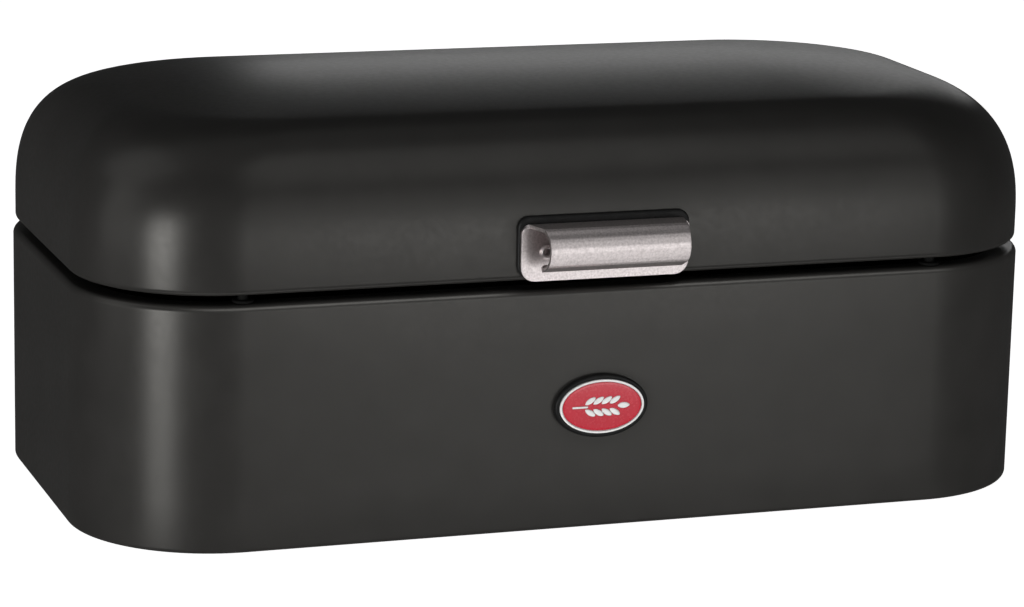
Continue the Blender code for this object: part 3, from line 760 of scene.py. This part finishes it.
def grain_outline(length, width, middle, angle, steps=14):
    """A pointed oval, as a grain of wheat lies on its stalk."""
    points = []
    turn = Matrix.Rotation(math.radians(angle), 2)
    for i in range(2 * steps):
        along = math.cos(math.pi * i / steps)
        side = math.copysign(abs(math.sin(math.pi * i / steps)) ** 1.3, math.sin(math.pi * i / steps))
        points.append(Vector(middle) + turn @ Vector((along * length / 2, side * width / 2)))
    return points


def ear_outlines(grow):
    """The ear of wheat: pairs of grains along a stalk and one at its tip, each outline grown a little."""
    length = GRAIN_LENGTH + 2 * grow
    outlines = [grain_outline(length, 2.4 * MM + 2 * grow, (9.4 * MM, 0), 0)]
    for i in range(GRAIN_PAIRS):
        x = 5.6 * MM - 3.6 * MM * i
        for side in (-1, 1):
            middle = (x, side * 2.5 * MM)
            outlines.append(grain_outline(length, 2.2 * MM + 2 * grow, middle, side * 32))
    stalk = rounded_rectangle(3.4 * MM + grow, 0.4 * MM + grow, 0.35 * MM + grow, 5)
    outlines.append([point + Vector((-9.6 * MM, 0)) for point in stalk])
    return outlines


def on_badge(x, z, out):
    """A point on the badge: x and z from its middle, out from the tub's front wall."""
    return Vector((x, -HALF_DEPTH - out, BADGE_HEIGHT + z))


def badge_prism(outline, front, back, edge=0.0):
    """A flat raised shape of the badge, its front edge eased inwards."""
    middle = sum(outline, Vector((0, 0))) / len(outline)
    stations = [(1, back), (1, front)]
    if edge:
        taper = edge / MM
        stations[1:] = [(1, front - edge), (1 - 0.3 * taper, front - 0.3 * edge), (1 - 0.7 * taper, front)]
    loops = [
        [on_badge(*(middle + (point - middle) * scale), out) for point in outline] for scale, out in stations
    ]
    return closed_solid("badge_shape", loops)


def badge_oval(name, corners):
    """An oval layer: corners are (inset, distance out, fillet) from the back's middle to the front's."""
    loops = []
    for inset, out in filleted(corners, 4):
        oval = ellipse(BADGE_HALF[0] - inset, BADGE_HALF[1] - inset, BADGE_STEPS)
        loops.append([on_badge(x, z, out) for x, z in oval])
    return closed_solid(name, loops)


def build_badge(rubber, plastic, white, red):
    """An adhesive pad, a black carrier, a white metal plate with raised lines, and red enamel in its well."""
    pad_front = GAP + 0.6 * MM
    carrier_back, carrier_front = pad_front + GAP, pad_front + GAP + 2 * MM
    seat = carrier_front - 1.2 * MM
    plate_back = seat + GAP
    plate_front = plate_back + 1.3 * MM
    well = plate_back + 0.5 * MM
    enamel_back, enamel_front = well + GAP, plate_front - 0.1 * MM
    deep = 10 * MM  # the inset at which a layer's front and back close

    pad = badge_oval("foam_pad", [
        (deep, GAP, 0),
        (2 * MM, GAP, 0.1 * MM),
        (2 * MM, pad_front, 0.1 * MM),
        (deep, pad_front, 0),
    ])
    finish_piece(pad, "badge_adhesive_pad", rubber)

    carrier = badge_oval("moulded_carrier", [
        (deep, carrier_back, 0),
        (-CARRIER_BORDER, carrier_back, 0.2 * MM),
        (-CARRIER_BORDER + 0.3 * MM, carrier_front, 0.8 * MM),
        (-GAP, carrier_front, 0.3 * MM),
        (-GAP, seat, 0),
        (deep, seat, 0),
    ])
    finish_piece(carrier, "badge_carrier", plastic)

    plate = badge_oval("white_plate", [
        (deep, plate_back, 0),
        (0, plate_back, 0.1 * MM),
        (0, plate_front, 0.3 * MM),
        (BADGE_RIM, plate_front, 0.2 * MM),
        (BADGE_RIM, well, 0),
        (deep, well, 0),
    ])
    enamel = badge_oval("red_filling", [
        (deep, enamel_back, 0),
        (BADGE_RIM + GAP, enamel_back, 0.1 * MM),
        (BADGE_RIM + GAP, enamel_front - 0.1 * MM, 0.1 * MM),
        (BADGE_RIM + 1.2 * MM, enamel_front, 0.3 * MM),
        (deep, enamel_front, 0),
    ])
    for raised, hole in zip(ear_outlines(0), ear_outlines(0.15 * MM)):
        combine(plate, badge_prism(raised, plate_front - 0.05 * MM, well - 0.2 * MM, 0.15 * MM), "UNION")
        combine(enamel, badge_prism(hole, plate_front + 1 * MM, well), "DIFFERENCE")
    finish_piece(plate, "badge_plate", white)
    finish_piece(enamel, "badge_enamel", red)


# ---------------------------------------------------------------- materials


class Finish:
    """A material whose colour, roughness and relief come from layers of noise in the object's own space."""

    def __init__(self, name, metallic=0.0):
        self.material = bpy.data.materials.new(name)
        self.material.use_nodes = True
        self.nodes = self.material.node_tree.nodes
        self.links = self.material.node_tree.links
        self.shader = self.nodes["Principled BSDF"]
        self.shader.inputs["Metallic"].default_value = metallic
        self.space = self.nodes.new("ShaderNodeTexCoord").outputs["Object"]
        self.relief = None

    def noise(self, grain, detail=2.0, stretch=(1, 1, 1)):
        """Noise whose features are about one grain, in metres, across."""
        source = self.space
        if stretch != (1, 1, 1):
            mapping = self.nodes.new("ShaderNodeMapping")
            mapping.inputs["Scale"].default_value = stretch
            self.links.new(source, mapping.inputs["Vector"])
            source = mapping.outputs["Vector"]
        texture = self.nodes.new("ShaderNodeTexNoise")
        texture.inputs["Scale"].default_value = 1 / grain
        texture.inputs["Detail"].default_value = detail
        self.links.new(source, texture.inputs["Vector"])
        return texture.outputs["Fac"]

    def colour(self, factor, dark, light):
        ramp = self.nodes.new("ShaderNodeValToRGB")
        ramp.color_ramp.elements[0].position = 0.3
        ramp.color_ramp.elements[1].position = 0.7
        ramp.color_ramp.elements[0].color = (*dark, 1)
        ramp.color_ramp.elements[1].color = (*light, 1)
        self.links.new(factor, ramp.inputs["Fac"])
        self.links.new(ramp.outputs["Color"], self.shader.inputs["Base Color"])

    def roughness(self, factor, low, high):
        spread = self.nodes.new("ShaderNodeMapRange")
        spread.inputs["From Min"].default_value = 0.3
        spread.inputs["From Max"].default_value = 0.7
        spread.inputs["To Min"].default_value = low
        spread.inputs["To Max"].default_value = high
        self.links.new(factor, spread.inputs["Value"])
        self.links.new(spread.outputs["Result"], self.shader.inputs["Roughness"])

    def bump(self, factor, depth):
        """Adds relief of a real depth, in metres, over whatever relief is there."""
        bump = self.nodes.new("ShaderNodeBump")
        bump.inputs["Distance"].default_value = depth
        bump.inputs["Strength"].default_value = 1
        self.links.new(factor, bump.inputs["Height"])
        if self.relief:
            self.links.new(self.relief, bump.inputs["Normal"])
        self.relief = bump.outputs["Normal"]
        self.links.new(self.relief, self.shader.inputs["Normal"])

    def set(self, **values):
        """Sets the shader's sockets: specular_ior_level=0.1 sets Specular IOR Level, and so on."""
        for name, value in values.items():
            self.shader.inputs[name.replace("_", " ").title().replace("Ior", "IOR")].default_value = value
        return self


def powder_coat():
    """Satin charcoal powder coat: a faint orange peel under a fine grain."""
    finish = Finish("powder_coat")
    finish.colour(finish.noise(18 * MM, 3), (0.0185, 0.0178, 0.0168), (0.0225, 0.0216, 0.0205))
    finish.roughness(finish.noise(2.5 * MM, 4), 0.3, 0.35)
    finish.bump(finish.noise(1.6 * MM, 2), 0.012 * MM)
    finish.bump(finish.noise(0.28 * MM, 2), 0.002 * MM)
    return finish.set(specular_tint=(1, 0.98, 0.93, 1)).material


def satin_nickel():
    """Satin nickel plate over blasted steel: warm, with a fine sparkling grain."""
    finish = Finish("satin_nickel", 1.0)
    finish.colour(finish.noise(0.9 * MM, 4), (0.60, 0.545, 0.54), (0.84, 0.775, 0.77))
    finish.roughness(finish.noise(0.7 * MM, 3), 0.35, 0.44)
    finish.bump(finish.noise(0.3 * MM, 3), 0.008 * MM)
    finish.bump(finish.noise(6 * MM, 2), 0.01 * MM)
    return finish.material


def zinc_plate():
    """Bright zinc over rolled steel: faint rolling lines along the leaves."""
    finish = Finish("zinc_plate", 1.0)
    finish.colour(finish.noise(3 * MM, 4), (0.52, 0.53, 0.55), (0.66, 0.66, 0.66))
    finish.roughness(finish.noise(1.2 * MM, 4), 0.24, 0.42)
    finish.bump(finish.noise(0.5 * MM, 3, (0.1, 1, 1)), 0.004 * MM)
    return finish.material


def black_rubber():
    finish = Finish("black_rubber")
    finish.colour(finish.noise(1.5 * MM, 4), (0.004, 0.004, 0.004), (0.007, 0.007, 0.0065))
    finish.roughness(finish.noise(0.6 * MM, 3), 0.72, 0.86)
    finish.bump(finish.noise(0.35 * MM, 3), 0.02 * MM)
    return finish.set(specular_ior_level=0.15).material


def moulded_black():
    """Black moulded plastic with a spark-eroded texture."""
    finish = Finish("moulded_black")
    finish.colour(finish.noise(3 * MM, 3), (0.005, 0.005, 0.005), (0.009, 0.009, 0.009))
    finish.roughness(finish.noise(0.8 * MM, 3), 0.42, 0.56)
    finish.bump(finish.noise(0.3 * MM, 3), 0.012 * MM)
    return finish.set(specular_ior_level=0.35).material


def white_enamel():
    finish = Finish("white_enamel")
    finish.colour(finish.noise(2 * MM, 3), (0.80, 0.80, 0.79), (0.88, 0.88, 0.87))
    finish.roughness(finish.noise(1 * MM, 3), 0.2, 0.3)
    finish.bump(finish.noise(1.2 * MM, 2), 0.006 * MM)
    return finish.material


def red_enamel():
    """Poured red enamel, clear and glossy over a deeper colour."""
    finish = Finish("red_enamel")
    finish.colour(finish.noise(2.5 * MM, 4), (0.53, 0.014, 0.033), (0.57, 0.018, 0.039))
    finish.roughness(finish.noise(1 * MM, 3), 0.22, 0.3)
    finish.bump(finish.noise(1.8 * MM, 2), 0.008 * MM)
    return finish.set(coat_weight=0.5, coat_roughness=0.08).material


def floor_white():
    finish = Finish("floor_white")
    finish.colour(finish.noise(400 * MM, 2), (0.79, 0.79, 0.79), (0.81, 0.81, 0.81))
    finish.roughness(finish.noise(50 * MM, 2), 0.85, 0.95)
    return finish.set(emission_color=(1, 1, 1, 1), emission_strength=FLOOR_GLOW).material


# ---------------------------------------------------------------- studio


def direction(azimuth, elevation):
    """A unit vector from the bin: azimuth 0 is in front of it, 90 to its right."""
    a, e = math.radians(azimuth), math.radians(elevation)
    return Vector((math.sin(a) * math.cos(e), -math.cos(a) * math.cos(e), math.sin(e)))


def add_softbox(name, azimuth, elevation, distance, size, radiance):
    """An even, rectangular softbox aimed at the bin. Angles are in degrees and lengths in metres."""
    away = direction(azimuth, elevation)
    light = bpy.data.lights.new(name, "AREA")
    light.shape = "RECTANGLE"
    light.size, light.size_y = size
    light.energy = math.pi * size[0] * size[1] * radiance
    softbox = bpy.data.objects.new(name, light)
    softbox.location = LIGHT_TARGET + away * distance
    softbox.rotation_euler = away.to_track_quat("Z", "Y").to_euler()
    softbox.visible_camera = False
    bpy.context.scene.collection.objects.link(softbox)
    return softbox


def light_only(pieces, softboxes, state="INCLUDE"):
    """Lets softboxes light only some pieces, or all but those, as a photographer's cards and flags do."""
    group = bpy.data.collections.new("lit_" + softboxes[0].name)
    for piece in pieces:
        group.objects.link(bpy.data.objects[piece])
    for member in group.collection_objects:
        member.light_linking.link_state = state
    for softbox in softboxes:
        softbox.light_linking.receiver_collection = group


def build_camera():
    """The camera stands in front and to the left of the bin, a little above it, and leans slightly."""
    away = direction(*CAMERA_DIRECTION)
    data = bpy.data.cameras.new("camera")
    data.lens = CAMERA_LENS
    data.sensor_width = SENSOR_WIDTH
    camera = bpy.data.objects.new("camera", data)
    camera.location = CAMERA_TARGET + away * CAMERA_DISTANCE
    level = away.to_track_quat("Z", "Y")
    camera.rotation_mode = "QUATERNION"
    camera.rotation_quaternion = level @ Matrix.Rotation(CAMERA_ROLL, 3, "Z").to_quaternion()
    bpy.context.scene.collection.objects.link(camera)
    bpy.context.scene.camera = camera


def build_floor():
    """A white floor just under the feet."""
    bm = bmesh.new()
    bmesh.ops.create_grid(bm, x_segments=1, y_segments=1, size=FLOOR_HALF_SIZE)
    mesh = bpy.data.meshes.new("floor")
    bm.to_mesh(mesh)
    bm.free()
    floor = bpy.data.objects.new("floor", mesh)
    floor.location = (0, 0, -FLOOR_DROP)
    floor.data.materials.append(floor_white())
    floor.visible_glossy = False
    floor.visible_shadow = False
    bpy.context.scene.collection.objects.link(floor)


def build_world():
    world = bpy.data.worlds.new("studio")
    world.use_nodes = True
    background = world.node_tree.nodes["Background"]
    background.inputs["Color"].default_value = (1, 1, 1, 1)
    background.inputs["Strength"].default_value = WORLD_GLOW
    bpy.context.scene.world = world


def build_studio():
    """Softboxes round the bin, and cards that light only the handle, the tub's rim or the lid's edge."""
    build_floor()
    build_world()
    add_softbox("key_left", -53.5, -1, 1.6, (0.5, 0.8), 6.8)
    add_softbox("front", 18, -5, 1.6, (0.5, 0.5), 2)
    add_softbox("front_wide", 18, 6, 1.6, (0.9, 0.9), 0.57)
    add_softbox("back", 153.5, 11.5, 1.6, (0.9, 0.14), 1.8)
    add_softbox("side_left", -90, 10, 1.6, (0.8, 1.1), 0.56)
    add_softbox("side_left_high", -104, 46, 1.6, (1, 1), 0.5)
    add_softbox("overhead", 0, 90, 1.4, (1.2, 1.2), 0.12)
    front_high = add_softbox("front_high", 22, 50, 1.6, (0.8, 1), 0.6)
    light_only(HANDLE_PIECES, [front_high], "EXCLUDE")
    cards = [
        add_softbox("low_card", 18, -34, 0.6, (0.5, 0.5), 0.95),
        add_softbox("table_card", 18, -80, 0.5, (0.6, 0.4), 0.9),
        add_softbox("high_card", 18, 32, 0.6, (0.5, 0.25), 0.7),
        add_softbox("top_card", 18, 88, 0.6, (0.5, 0.3), 0.22),
    ]
    light_only(HANDLE_PIECES, cards)
    light_only(["tub"], [add_softbox("rim_card", 10, 55, 1.2, (1.2, 0.7), 2.2)])
    light_only(["lid"], [add_softbox("edge_card", 0, -75, 0.8, (1.2, 0.5), 0.8)])
    bpy.context.scene.view_settings.view_transform = "Standard"


# ---------------------------------------------------------------- assembly

BODIES = frame["record"]["behaviour"]["bodies"]
SLOTS = {part["node"]: part["material_slot"] for part in frame["record"]["subparts"]}
FEET = sorted(node for node in SLOTS if node.startswith("foot_"))
BUFFERS = sorted(node for node in SLOTS if node.startswith("lid_buffer_"))

build_camera()

paint = powder_coat()
nickel = satin_nickel()
zinc = zinc_plate()
rubber = black_rubber()
plastic = moulded_black()

build_tub(paint)
build_lid(paint)
build_feet(rubber)
build_buffers(rubber)
for hinge_side in ("left", "right"):
    build_leaf(hinge_side, "tub", zinc)
    build_leaf(hinge_side, "lid", zinc)
    build_pin(hinge_side, zinc)
build_hinge_rivets("tub", zinc)
build_hinge_rivets("lid", zinc)
build_grip(nickel)
build_backing(plastic)
build_handle_rivets(nickel, zinc)
build_badge(rubber, plastic, white_enamel(), red_enamel())
build_studio()
